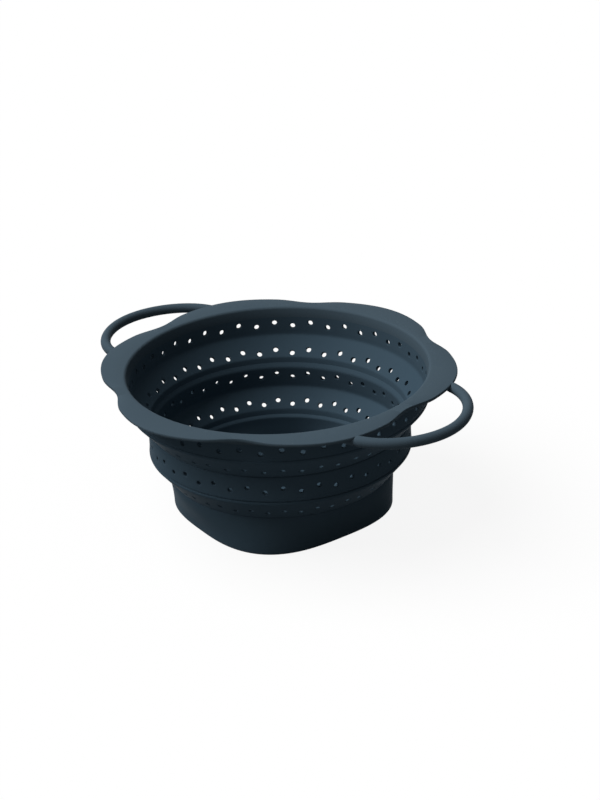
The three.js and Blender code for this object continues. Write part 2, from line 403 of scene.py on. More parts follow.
def edges_of(geom: list[object]) -> list[Edge]:
    """Picks the edges out of what an operator made."""
    return [g for g in geom if isinstance(g, Edge)]


def spun(points: list[Point], rounds: dict[int, float], closed: bool = True) -> Mesh:
    """Spins a section of radius and height about +Z.

    Args:
        points: the section's corners in order.
        rounds: how far from some of the corners, by their index, their rounding starts.
        closed: whether the last corner joins the first.

    Returns:
        The ring's mesh.
    """
    mesh = bmesh.new()
    corners = [mesh.verts.new((radius, 0, height)) for radius, height in points]
    pairs = list(zip(corners, corners[1:]))
    if closed:
        pairs.append((corners[-1], corners[0]))
    for pair in pairs:
        mesh.edges.new(pair)
    for index, size in rounds.items():
        bmesh.ops.bevel(
            mesh,
            geom=[corners[index]],
            offset=size,
            offset_type="OFFSET",
            segments=max(3, round(size * ROUND_SEGMENTS)),
            profile=0.5,
            affect="VERTICES",
            material=-1,
        )
    bmesh.ops.spin(
        mesh,
        geom=whole(mesh),
        cent=(0, 0, 0),
        axis=(0, 0, 1),
        angle=TURN,
        steps=COLUMNS,
        use_merge=True,
    )
    return mesh


def reshape(mesh: Mesh, shift: Callable[[float, float, float], float]) -> None:
    """Moves the vertices of a spun mesh away from its axis, or towards it.

    Args:
        mesh: the mesh.
        shift: gives a vertex's way out, from its radius, angle and height.
    """
    for vert in mesh.verts:
        radius = math.hypot(vert.co.x, vert.co.y)
        angle = math.atan2(vert.co.y, vert.co.x)
        scale = 1 + shift(radius, angle, vert.co.z) / radius
        vert.co.x *= scale
        vert.co.y *= scale


def join(first: Mesh, second: Mesh) -> None:
    """Adds one mesh to another.

    Args:
        first: the mesh that grows.
        second: the mesh that is added, and freed.
    """
    data = stored("joined", second)
    first.from_mesh(data)
    bpy.data.meshes.remove(data)


def step(start: Point, goal: Point, distance: float) -> Point:
    """Gives the point on the way from one point to another, at a distance from the first."""
    share = distance / math.dist(start, goal)
    return (start[0] + (goal[0] - start[0]) * share, start[1] + (goal[1] - start[1]) * share)


def across(start: Point, goal: Point) -> Point:
    """Gives the unit direction out through the wall, where it runs down from start to goal."""
    length = math.dist(start, goal)
    return ((start[1] - goal[1]) / length, (goal[0] - start[0]) / length)


def shifted(point: Point, direction: Point, distance: float) -> Point:
    """Gives a point moved along a direction."""
    return (point[0] + direction[0] * distance, point[1] + direction[1] * distance)


def polar(radius: float, angle: float, height: float = 0.0) -> Vector:
    """Gives the place at a distance from the axis and an angle round it, at a height."""
    return Vector((radius * math.cos(angle), radius * math.sin(angle), height))


@dataclass(frozen=True)
class Station:
    """One section of a rod."""

    place: Vector
    along: Vector
    share: float = 1.0  # of the rod's radius


def swept(stations: list[Station], radius: float, sides: int) -> Mesh:
    """Makes a round rod through a row of level sections.

    Args:
        stations: the sections in order.
        radius: the rod's radius.
        sides: the number of faces round the rod.

    Returns:
        The rod's mesh, closed at both ends.
    """
    mesh = bmesh.new()
    verts = bmesh.ops.create_circle(mesh, cap_ends=True, radius=1, segments=sides)["verts"]
    ring = mesh.edges[:]
    level = Vector((0, 0, 1))
    for index, station in enumerate(stations):
        if index > 0:
            geom = bmesh.ops.extrude_edge_only(mesh, edges=ring)["geom"]
            verts, ring = verts_of(geom), edges_of(geom)
        sideways = station.along.cross(level).normalized()
        for i, vert in enumerate(verts):
            swing = i * TURN / sides
            way = sideways * math.cos(swing) + level * math.sin(swing)
            vert.co = station.place + way * (station.share * radius)
    bmesh.ops.contextual_create(mesh, geom=ring)
    bmesh.ops.recalc_face_normals(mesh, faces=mesh.faces)
    return mesh


def carved(mesh: Mesh, tool: Mesh, operation: str) -> Mesh:
    """Joins a closed mesh with another, or cuts it.

    Args:
        mesh: the mesh that is changed, and freed.
        tool: the mesh that it is changed with, and freed.
        operation: "UNION" or "DIFFERENCE".

    Returns:
        The result.
    """
    pieces = []
    for name, source in (("carved", mesh), ("tool", tool)):
        bmesh.ops.recalc_face_normals(source, faces=source.faces)
        pieces.append(new_object(name, stored(name, source)))
    body, cutter = pieces
    change = body.modifiers.new("carve", "BOOLEAN")
    change.operation = operation
    change.solver = "EXACT"
    change.object = cutter
    result = bmesh.new()
    result.from_object(body, bpy.context.evaluated_depsgraph_get())
    for piece in pieces:
        data = piece.data
        bpy.data.objects.remove(piece)
        bpy.data.meshes.remove(data)
    return result


@dataclass(frozen=True)
class WallLine:
    """The fold lines of the wall's inner face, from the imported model's driving sizes."""

    cup_height: float = 28.8
    strip_height: float = 3.8
    band_rise: float = 13.3
    ring_height: float = 18.9
    collar_height: float = 20.5
    bowl_radius: float = 100.3
    collar_taper: float = 1.3
    upper_run: float = 11.2
    strip_lean: float = 0.6
    ring_taper: float = 0.3
    lower_run: float = 10.6
    wall: float = 2.6
    strip_wall: float = 1.1
    rim_depth: float = 5.6
    ledge_depth: float = 1.8
    ring_ledge: float = 3.3
    cup_ledge: float = 1.9

    @staticmethod
    def _under(point: Point, inwards: float, down: float) -> Point:
        """Gives the point that lies further in and down."""
        return (point[0] - inwards, point[1] - down)

    @property
    def rim_top(self) -> float:
        """The height of the whole colander."""
        folds = 2 * (self.strip_height + self.band_rise)
        return self.cup_height + self.ring_height + self.collar_height + folds

    @property
    def collar_top(self) -> Point:
        """The wall's top, under the rim."""
        return (self.bowl_radius, self.rim_top - self.rim_depth)

    @property
    def upper_fold(self) -> Point:
        """The corner between the collar and the upper band."""
        return (self.bowl_radius - self.collar_taper, self.rim_top - self.collar_height)

    @property
    def upper_strip(self) -> Point:
        """The corner between the upper band and the strip under it."""
        return self._under(self.upper_fold, self.upper_run, self.band_rise)

    @property
    def ring_top(self) -> Point:
        """The foot of the upper strip, on the middle ring."""
        return self._under(self.upper_strip, self.strip_lean, self.strip_height)

    @property
    def ring_ledge_tip(self) -> Point:
        """The innermost edge of the middle ring's ledge."""
        return self._under(self.ring_top, self.ledge_depth, self.ring_ledge)

    @property
    def ring_foot(self) -> Point:
        """The corner between the middle ring and the lower band."""
        return self._under(self.ring_top, self.ring_taper, self.ring_height)

    @property
    def lower_strip(self) -> Point:
        """The corner between the lower band and the strip under it."""
        return self._under(self.ring_foot, self.lower_run, self.band_rise)

    @property
    def cup_top(self) -> Point:
        """The foot of the lower strip, on the base cup."""
        return self._under(self.lower_strip, self.strip_lean, self.strip_height)

    @property
    def cup_ledge_tip(self) -> Point:
        """The innermost edge of the base cup's ledge."""
        return self._under(self.cup_top, self.ledge_depth, self.cup_ledge)


@dataclass(frozen=True)
class DrainPanel:
    """A straight stretch of wall with one row of drain holes in a zig-zag.

    A flat cell is made for one hole, with its rounded edge, mirrored for the other face of the
    wall, wrapped into the wall and repeated round the bowl. Every second cell has its hole higher.
    """

    top_inner: Point
    top_outer: Point
    foot_inner: Point
    foot_outer: Point
    lift: float  # of the row above the foot, along the wall
    stagger: float
    diameter: float
    edge_round: float
    count: int = 48
    margin: float = 0.12
    columns: int = 8
    row_height: float = 2.0  # of the cell's rows over and under the hole
    thickness: float = 2.6
    swings: tuple[int, ...] = (0, 30, 60, 90)  # degrees round the hole's rounded edge

    @property
    def length(self) -> float:
        """The panel's height along its inner face."""
        return math.dist(self.top_inner, self.foot_inner)

    @property
    def pitch(self) -> float:
        """The distance between two holes round the bowl."""
        share = self.lift / self.length
        inner = self.foot_inner[0] + (self.top_inner[0] - self.foot_inner[0]) * share
        return TURN * (inner + self.thickness / 2) / self.count

    @property
    def reach(self) -> float:
        """Half the height of the box that the hole is cut in."""
        return self.diameter / 2 + self.edge_round + self.margin

    def _lines(self) -> list[float]:
        """Gives the heights of the cell's lines, with five of them across the hole.

        Returns:
            The heights in order, from 0 to the panel's length.
        """
        box = [self.lift + self.reach * share for share in (-1, -0.5, 0, 0.5, 1)]
        rest = self.length - box[-1]
        below, above = (max(1, round(h / self.row_height)) for h in (box[0], rest))
        lines = [box[0] * i / below for i in range(below)] + box
        return lines + [box[-1] + rest * i / above for i in range(1, above + 1)]

    def _cell(self, side: int) -> Mesh:
        """Makes one flat cell in millimetres, with X round the bowl and Y up the wall.

        Args:
            side: 1 where the hole is set up the wall, and -1 where it is set down.

        Returns:
            The cell's mesh, whole through the wall's thickness.
        """
        lines = self._lines()
        rows = len(lines) - 1
        low = lines.index(self.lift - self.reach)
        high = low + 4  # four lines over the box's lowest
        mesh = bmesh.new()
        bmesh.ops.create_grid(mesh, x_segments=self.columns, y_segments=rows, size=1)
        half = self.columns // 2
        shift = side * self.stagger
        box = set()
        for vert in mesh.verts:
            column = round((vert.co.x + 1) / 2 * self.columns) - half
            row = round((vert.co.y + 1) / 2 * rows)
            near_column = min(1.0, (half - abs(column)) / (half / 2))
            below = lines[row] / lines[low]
            above = (self.length - lines[row]) / (self.length - lines[high])
            near_row = min(1.0, below, above)
            vert.co.x = column * self.pitch / self.columns
            vert.co.y = lines[row] + shift * near_column * near_row
            vert.co.z = self.thickness / 2
            if abs(column) <= half / 2 and low <= row <= high:
                box.add(vert)
        middle = [f for f in mesh.faces if all(v in box for v in f.verts)]
        rim = [e for f in middle for e in f.edges]
        rim = {e for e in rim if sum(f in middle for f in e.link_faces) == 1}
        bmesh.ops.delete(mesh, geom=middle, context="FACES")
        edge = [e for e in mesh.edges if e in rim]
        centre = Vector((0, self.lift + shift, self.thickness / 2))
        for swing in self.swings:
            edge = self._hole_step(mesh, edge, centre, math.radians(swing))
        for vert in verts_of(bmesh.ops.extrude_edge_only(mesh, edges=edge)["geom"]):
            vert.co.z = 0
        bmesh.ops.mirror(mesh, geom=whole(mesh), axis="Z", merge_dist=MERGE / 2)
        return mesh

    def _hole_step(self, mesh: Mesh, edge: list[Edge], centre: Vector, swing: float) -> list[Edge]:
        """Takes the hole's open edge one step further round its rounding.

        Args:
            mesh: the cell.
            edge: the open edge of the hole.
            centre: the middle of the hole.
            swing: how far round the rounding the new edge lies.

        Returns:
            The new open edge.
        """
        made = bmesh.ops.extrude_edge_only(mesh, edges=edge)["geom"]
        radius = self.diameter / 2 + self.edge_round * (1 - math.sin(swing))
        depth = self.edge_round * (1 - math.cos(swing))
        sector = TURN / (2 * self.columns)
        wide = 2 * self.pitch / self.columns
        for vert in verts_of(made):
            away = vert.co - centre
            if swing == 0:  # from the cell's box to the circle
                away = Vector((away.x / wide, away.y / self.reach, 0))
            angle = sector * round(math.atan2(away.y, away.x) / sector)
            vert.co = centre + polar(1, angle) * radius - Vector((0, 0, depth))
        return edges_of(made)

    def _wrap(self, mesh: Mesh, turn: float) -> None:
        """Bends a flat cell into the wall.

        Args:
            mesh: the cell.
            turn: the angle of its middle round the bowl.
        """
        for vert in mesh.verts:
            up = vert.co.y / self.length
            out = vert.co.z / self.thickness + 0.5
            angle = turn + vert.co.x / self.pitch * TURN / self.count
            inner = Vector(self.foot_inner).lerp(Vector(self.top_inner), up)
            outer = Vector(self.foot_outer).lerp(Vector(self.top_outer), up)
            radius, height = inner.lerp(outer, out)
            vert.co = polar(radius, angle, height)

    def build(self, *ends: Point) -> Mesh:
        """Makes the panel.

        Args:
            ends: for each of its ends that is closed, a point on it.

        Returns:
            The panel's mesh.
        """
        pair = self._cell(1)
        self._wrap(pair, 0)
        lower = self._cell(-1)
        self._wrap(lower, TURN / self.count)
        join(pair, lower)
        bmesh.ops.spin(
            pair,
            geom=whole(pair),
            cent=(0, 0, 0),
            axis=(0, 0, 1),
            angle=TURN - 2 * TURN / self.count,
            steps=self.count // 2 - 1,
            use_duplicate=True,
        )
        bmesh.ops.remove_doubles(pair, verts=pair.verts, dist=MERGE)
        for _, height in ends:
            loose = [e for e in pair.edges if e.is_boundary]
            near = [e for e in loose if abs(e.verts[0].co.z - height) < self.thickness]
            bmesh.ops.bridge_loops(pair, edges=near)
        return pair


@dataclass(frozen=True)
class Groove:
    """The section of a groove outside the wall, by heights over the corner of the band under it."""

    depth: float
    top: float
    upper: float
    lower: float
    foot: float
    soft: float = 0.1  # rounding of its foot and bottom
    brow: float = 0.25  # rounding of its top


@dataclass(frozen=True)
class Fold:
    """A band that turns inside out between two parts, with the hinge lines over and under it."""

    hinge: str  # the node of the line over the band
    band: str
    strip: str  # the node of the line under the band
    above: Part
    below: Part
    over: Point  # over the corner, on the wall's inner face, as are the other points
    corner: Point  # over the band
    bend: Point  # between the band and its strip
    foot: Point  # of the strip
    row: int  # of the band's holes, from the top


@dataclass
class FoldingWall:
    """The wall from the collar down to the base cup, with its two bands that turn inside out."""

    shop: Workshop
    line: WallLine = WallLine()
    collar_start: float = 2.0  # of the collar's skin, below the rim's foot
    groove_reach: float = 3.5  # of the groove's skin above its corner
    corner_reach: float = 2.2  # of the groove's skin below its corner
    grooves: dict[Part, Groove] = field(
        default_factory=lambda: {
            Part.RIM: Groove(depth=0.45, top=3.2, upper=1.0, lower=0.8, foot=0.5),
            Part.RING: Groove(depth=0.8, top=1.4, upper=0.8, lower=0.5, foot=0.2),
        }
    )
    outer_round: float = 0.3  # of the corner over a band, outside
    inner_round: float = 1.0  # of the same corner, inside
    strip_start: float = 0.8  # of the strip's skin, above its corner
    strip_round: float = 0.7
    roll_reach: float = 2.0  # of a turning band's roll, below its strip's corner
    shoulder: float = 0.6
    shoulder_round: float = 1.3
    ledge_reach: float = 2.2  # of the ring's head below the tip of its ledge
    ledge_round: float = 1.1
    row_lifts: tuple[float, ...] = (7.5, 3.6, 9.1, 4.2)
    row_staggers: tuple[float, ...] = (1.2, 1.0, 1.4, 1.1)
    hole_diameters: tuple[float, ...] = (3.6, 3.7, 3.1, 3.4)
    hole_rounds: tuple[float, ...] = (0.25, 0.25, 0.3, 0.3)
    hole_turn: float = math.radians(-1.4)  # from +X to the first hole of each row

    def _panel(self, top: Point, foot: Point, high: float, low: float, row: int) -> DrainPanel:
        """Gives the panel with one row of holes.

        Args:
            top: the upper fold point of the wall's inner face.
            foot: the lower fold point, from which the row's height is measured.
            high: how far below the upper point the panel starts.
            low: how far above the lower point it ends.
            row: the row's number, from the top.

        Returns:
            The panel.
        """
        rise = (top[1] - foot[1]) / math.dist(top, foot)
        out = across(top, foot)
        inner_top = step(top, foot, high)
        inner_foot = step(foot, top, low)
        return DrainPanel(
            inner_top,
            shifted(inner_top, out, self.line.wall),
            inner_foot,
            shifted(inner_foot, out, self.line.wall),
            lift=self.row_lifts[row] / rise - low,
            stagger=self.row_staggers[row] / rise,
            diameter=self.hole_diameters[row],
            edge_round=self.hole_rounds[row],
        )

    def _groove(self, fold: Fold) -> Mesh:
        """Makes the corner over a band, with the groove outside it.

        Args:
            fold: the band's fold.

        Returns:
            The ring's mesh.
        """
        groove = self.grooves[fold.above]
        wall = self.line.wall
        out = across(fold.over, fold.corner)
        under = across(fold.corner, fold.bend)
        foot = step(fold.corner, fold.bend, self.corner_reach)

        def up(distance: float, depth: float) -> Point:
            """Gives a point over the corner, at a depth in the wall."""
            return shifted(step(fold.corner, fold.over, distance), out, depth)

        dot = out[0] * under[0] + out[1] * under[1]
        mitre = ((out[0] + under[0]) / (1 + dot), (out[1] + under[1]) / (1 + dot))
        points = [
            shifted(foot, under, wall),
            shifted(fold.corner, mitre, wall),
            up(groove.foot, wall),
            up(groove.lower, wall - groove.depth),
            up(groove.upper, wall - groove.depth),
            up(groove.top, wall),
            up(self.groove_reach, wall),
            up(self.groove_reach, 0),
            fold.corner,
            foot,
        ]
        soft = {index: groove.soft for index in (2, 3, 4)}
        ends = {5: groove.brow, 8: self.inner_round}
        return spun(points, {1: self.outer_round} | soft | ends)

    def _strip(self, fold: Fold) -> Mesh:
        """Makes the thin strip under a band.

        Args:
            fold: the band's fold.

        Returns:
            The ring's mesh.
        """
        start = step(fold.bend, fold.corner, self.strip_start)
        points = [
            (fold.foot[0] + self.line.strip_wall, fold.foot[1]),
            shifted(start, across(fold.corner, fold.bend), self.line.wall),
            start,
            fold.bend,
            fold.foot,
        ]
        return spun(points, {3: self.strip_round})

    def collar(self) -> None:
        """Makes the steep wall under the rim, with the first row of holes."""
        line = self.line
        panel = self._panel(
            line.collar_top, line.upper_fold, self.collar_start, self.groove_reach, 0
        )
        mesh = panel.build(panel.top_inner, panel.foot_inner)
        self.shop.finish("collar_wall", mesh, Slot.WALL, Part.RIM, self.hole_turn, name="collar")

    def fold(self, fold: Fold) -> None:
        """Makes a band, which turns inside out with its strip, and the hinge line over it.

        Args:
            fold: the band's fold.
        """
        hinge = self._groove(fold)
        self.shop.finish(fold.hinge, hinge, Slot.FOLD, fold.above, self.hole_turn)
        panel = self._panel(fold.corner, fold.bend, self.corner_reach, self.strip_start, fold.row)
        band = panel.build(panel.top_inner, panel.foot_inner)
        for node, mesh in ((fold.band, band), (fold.strip, self._strip(fold))):
            piece = self.shop.finish(node, mesh, Slot.FOLD, turn=self.hole_turn)
            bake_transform(piece)

    def ring(self) -> None:
        """Makes the middle ring, with its ledge and the third row of holes."""
        line = self.line
        tip, foot, top = line.ring_ledge_tip, line.ring_foot, line.ring_top
        panel = self._panel(tip, foot, self.ledge_reach, self.groove_reach, 2)
        outer_top = (top[0] + line.strip_wall + self.shoulder, top[1])
        slope = panel.foot_outer
        share = (panel.top_inner[1] - slope[1]) / (outer_top[1] - slope[1])
        head_foot = (slope[0] + (outer_top[0] - slope[0]) * share, panel.top_inner[1])
        panel = replace(panel, top_outer=head_foot)
        mesh = panel.build(panel.foot_inner)
        head = spun(
            [panel.top_inner, tip, top, outer_top, head_foot],
            {1: self.ledge_round, 3: self.shoulder_round},
            closed=False,
        )
        join(mesh, head)
        self.shop.finish("middle_ring", mesh, Slot.WALL, Part.RING, self.hole_turn)

    def build(self) -> None:
        """Makes every skin of the wall, from the collar down."""
        line = self.line
        upper = Fold(
            hinge="collar_hinge",
            band="upper_fold_band",
            strip="ring_top_hinge",
            above=Part.RIM,
            below=Part.RING,
            over=line.collar_top,
            corner=line.upper_fold,
            bend=line.upper_strip,
            foot=line.ring_top,
            row=1,
        )
        lower = Fold(
            hinge="ring_foot_hinge",
            band="lower_fold_band",
            strip="base_hinge",
            above=Part.RING,
            below=Part.BASE,
            over=line.ring_ledge_tip,
            corner=line.ring_foot,
            bend=line.lower_strip,
            foot=line.cup_top,
            row=3,
        )
        self.collar()
        self.fold(upper)
        self.ring()
        self.fold(lower)


@dataclass
class Base:
    """The cup under the lower band, which goes from round to a rounded square, and its floor."""

    shop: Workshop
    line: WallLine = WallLine()
    inset: float = 8.1
    squareness: float = 2.85
    turn: float = 32.4
    levels: int = 6  # of the cup's wall
    edge_round: float = 1.0
    shoulder_round: float = 1.3
    ledge_round: float = 0.7
    floor_round: float = 1.0
    foot_width: float = 13.0
    foot_height: float = 2.0
    floor_thickness: float = 2.0
    floor_hole: float = 5.0
    floor_hole_round: float = 0.35
    floor_hole_segments: int = 3
    floor_rings: int = 3
    floor_step: int = 6  # holes more in each ring than in the one inside it
    floor_edge: float = 9.0
    gap: float = 0.3

    @property
    def outer_radius(self) -> float:
        """The cup's outer radius at its round top."""
        return self.line.cup_top[0] + self.line.strip_wall

    @property
    def half_width(self) -> float:
        """The distance from the axis to the flats of the foot."""
        return self.outer_radius - self.inset

    def outline(self, angle: float) -> float:
        """Gives the foot's rounded-square outline.

        Args:
            angle: the angle round the bowl.

        Returns:
            The distance from the axis to the outline.
        """
        turned = angle - math.radians(self.turn) + math.pi / 4
        power = self.squareness
        total = abs(math.cos(turned)) ** power + abs(math.sin(turned)) ** power
        return self.half_width / total ** (1 / power)

    def shift(self, angle: float, height: float) -> float:
        """Gives how far the cup's wall lies from its round top's radius.

        Args:
            angle: the angle round the bowl.
            height: the height above the worktop.

        Returns:
            The shift in millimetres, which is negative inwards.
        """
        way = min(1.0, max(0.0, height / self.line.cup_height))
        share = 1 - way * way * (3 - 2 * way)
        return share * (self.outline(angle) - self.outer_radius)

    def cup(self) -> None:
        """Makes the cup with its foot ring."""
        top = self.line.cup_top
        outer, inner = self.outer_radius, self.outer_radius - self.line.wall
        levels = [top[1] * i / self.levels for i in range(1, self.levels)]
        points: list[Point] = [(outer - self.foot_width, 0), (outer, 0)]
        points += [(outer, level) for level in levels]
        shoulder = len(points)
        points += [(outer, top[1]), top]
        ledge = len(points)
        points += [self.line.cup_ledge_tip]
        points += [(inner, level) for level in reversed(levels)]
        floor = len(points)
        points += [(inner, self.foot_height), (outer - self.foot_width, self.foot_height)]
        rounds = {
            1: self.edge_round,
            shoulder: self.shoulder_round,
            ledge: self.ledge_round,
            floor: self.floor_round,
        }
        mesh = spun(points, rounds)
        reshape(mesh, lambda _, angle, height: self.shift(angle, height))
        self.shop.finish("base_cup", mesh, Slot.WALL, Part.BASE)

    def _hole_places(self) -> list[Vector]:
        """Lays out the floor's holes, in rings round one in the middle.

        Returns:
            The middles of the holes, at a height of 0.
        """
        reach = self.half_width - self.foot_width - self.floor_edge - self.floor_hole / 2
        places = []
        for ring in range(self.floor_rings + 1):
            count = max(1, ring * self.floor_step)
            away = ring / self.floor_rings * reach
            for i in range(count):
                angle = math.radians(self.turn) + i * TURN / count
                places.append(polar(away, angle))
        return places

    def floor(self) -> None:
        """Makes the drain floor with its rings of holes."""
        mesh = bmesh.new()
        edge_shift = self.outer_radius - self.line.wall - self.gap
        made = bmesh.ops.create_circle(mesh, radius=1, segments=COLUMNS // 2)["verts"]
        for vert in made:
            angle = math.atan2(vert.co.y, vert.co.x)
            vert.co = polar(edge_shift + self.shift(angle, self.foot_height), angle)
        places = self._hole_places()
        for place in places:
            matrix = Matrix.Translation(place)
            radius = self.floor_hole / 2
            bmesh.ops.create_circle(mesh, radius=radius, segments=HOLE_SIDES, matrix=matrix)
        bmesh.ops.triangle_fill(mesh, use_beauty=True, use_dissolve=False, edges=mesh.edges[:])
        bmesh.ops.translate(mesh, vec=(0, 0, self.foot_height), verts=mesh.verts)
        made = bmesh.ops.extrude_face_region(mesh, geom=mesh.faces[:])["geom"]
        raised = (0, 0, self.floor_thickness)
        bmesh.ops.translate(mesh, vec=raised, verts=verts_of(made))

        def is_rim(edge: Edge) -> bool:
            """Tells whether an edge is a level, sharp one round a hole.

            Args:
                edge: the edge.

            Returns:
                Whether it is one.
            """
            first, second = (vert.co for vert in edge.verts)
            level = abs(first.z - second.z) < LEVEL
            near = ((first.xy - place.xy).length < self.floor_hole for place in places)
            return level and edge.calc_face_angle(0) > SHARP and any(near)

        bmesh.ops.bevel(
            mesh,
            geom=[edge for edge in mesh.edges if is_rim(edge)],
            offset=self.floor_hole_round,
            offset_type="OFFSET",
            segments=self.floor_hole_segments,
            profile=0.5,
            affect="EDGES",
            material=-1,
        )
        self.shop.finish("base_floor", mesh, Slot.WALL, Part.BASE)

    def build(self) -> None:
        """Makes the cup and its floor."""
        self.cup()
        self.floor()


@dataclass
class Rim:
    """The flat petal-edged flange round the mouth."""

    shop: Workshop
    line: WallLine = WallLine()
    lobes: int = 6
    lobe_width: float = 20.3
    lobe_fall: float = 6.5
    notch_width: float = 10.0
    notch_half_width: float = 12.7
    root: float = 3.9
    root_slope: float = 1.4
    root_round: float = 1.0
    fillet: float = 0.5  # of the corners on both sides of the root
    edge: float = 2.2
    edge_taper: float = 0.6
    edge_round: float = 0.8
    petal_start: float = 0.8  # of the petals' shape, inside the root's corner
    mouth_flare: float = 1.2
    mouth_round: float = 1.8
    throat_round: float = 1.6
    skirt: float = 2.0  # of wall under the flange that belongs to its skin
    wire_inset: float = 4.1  # from the wall's inner face out to the middle of the wire
    wire_depth: float = 2.6
    pin: float = 2.6

    @property
    def lobe_radius(self) -> float:
        """The distance from the axis to the middle of a lobe's edge."""
        return self.line.bowl_radius + self.lobe_width

    def outline(self, angle: float) -> float:
        """Gives the petal edge's outline.

        Args:
            angle: the angle round the bowl.

        Returns:
            The distance from the axis to the edge.
        """
        pitch = TURN / self.lobes
        off = abs(angle - pitch * round(angle / pitch))

        def dip(half_width: float) -> float:
            """Gives a smooth dip that is 1 in the notch and 0 at its ends."""
            return 0.5 + 0.5 * math.cos(min(off / half_width, 1) * math.pi)

        notch = self.lobe_width - self.lobe_fall - self.notch_width
        return (
            self.lobe_radius
            - self.lobe_fall * dip(pitch / 2)
            - notch * dip(math.radians(self.notch_half_width))
        )

    def _pins(self) -> Mesh:
        """Makes the pins that held the rim's wire in the mould, and left holes under the rim.

        Returns:
            The pins' mesh.
        """
        line = self.line
        height = line.rim_top - self.wire_depth - line.rim_depth / 2
        place = Matrix.Translation((line.bowl_radius + self.wire_inset, 0, height))
        pins = bmesh.new()
        for i in range(self.lobes):
            bmesh.ops.create_cone(
                pins,
                cap_ends=True,
                radius1=self.pin / 2,
                radius2=self.pin / 2,
                depth=line.rim_depth,
                segments=HOLE_SIDES,
                matrix=Matrix.Rotation((i + 0.5) * TURN / self.lobes, 4, "Z") @ place,
            )
        return pins

    def build(self, ribs: Mesh) -> None:
        """Makes the flange.

        Args:
            ribs: the ribs in line with the handles, which are moulded on under the flange.
        """
        line = self.line
        top = line.rim_top
        seam = line.collar_top[1]
        outer_wall = line.bowl_radius + line.wall
        foot = step(line.collar_top, line.upper_fold, self.skirt)
        reach = self.lobe_radius
        under = top - self.edge
        points = [
            shifted(foot, across(line.collar_top, line.upper_fold), line.wall),
            (outer_wall, seam),
            (outer_wall + self.root, seam),
            (outer_wall + self.root + self.root_slope, under - self.edge_taper),
            (reach, under),
            (reach, top),
            (line.bowl_radius + self.mouth_flare, top),
            line.collar_top,
            foot,
        ]
        rounds = {
            1: self.fillet,
            2: self.root_round,
            3: self.fillet,
            4: self.edge_round,
            5: self.edge_round,
            6: self.mouth_round,
            7: self.throat_round,
        }
        mesh = spun(points, rounds)
        start = outer_wall + self.root - self.petal_start

        def shift(radius: float, angle: float, _: float) -> float:
            """Gives how far a vertex moves, more the nearer it lies to the edge."""
            return max(0.0, (radius - start) / (reach - start)) * (self.outline(angle) - reach)

        reshape(mesh, shift)
        mesh = carved(mesh, ribs, "UNION")
        mesh = carved(mesh, self._pins(), "DIFFERENCE")
        self.shop.finish("rim_flange", mesh, Slot.RIM, Part.RIM)
        self.shop.dress("rim_wire", Slot.WIRE)


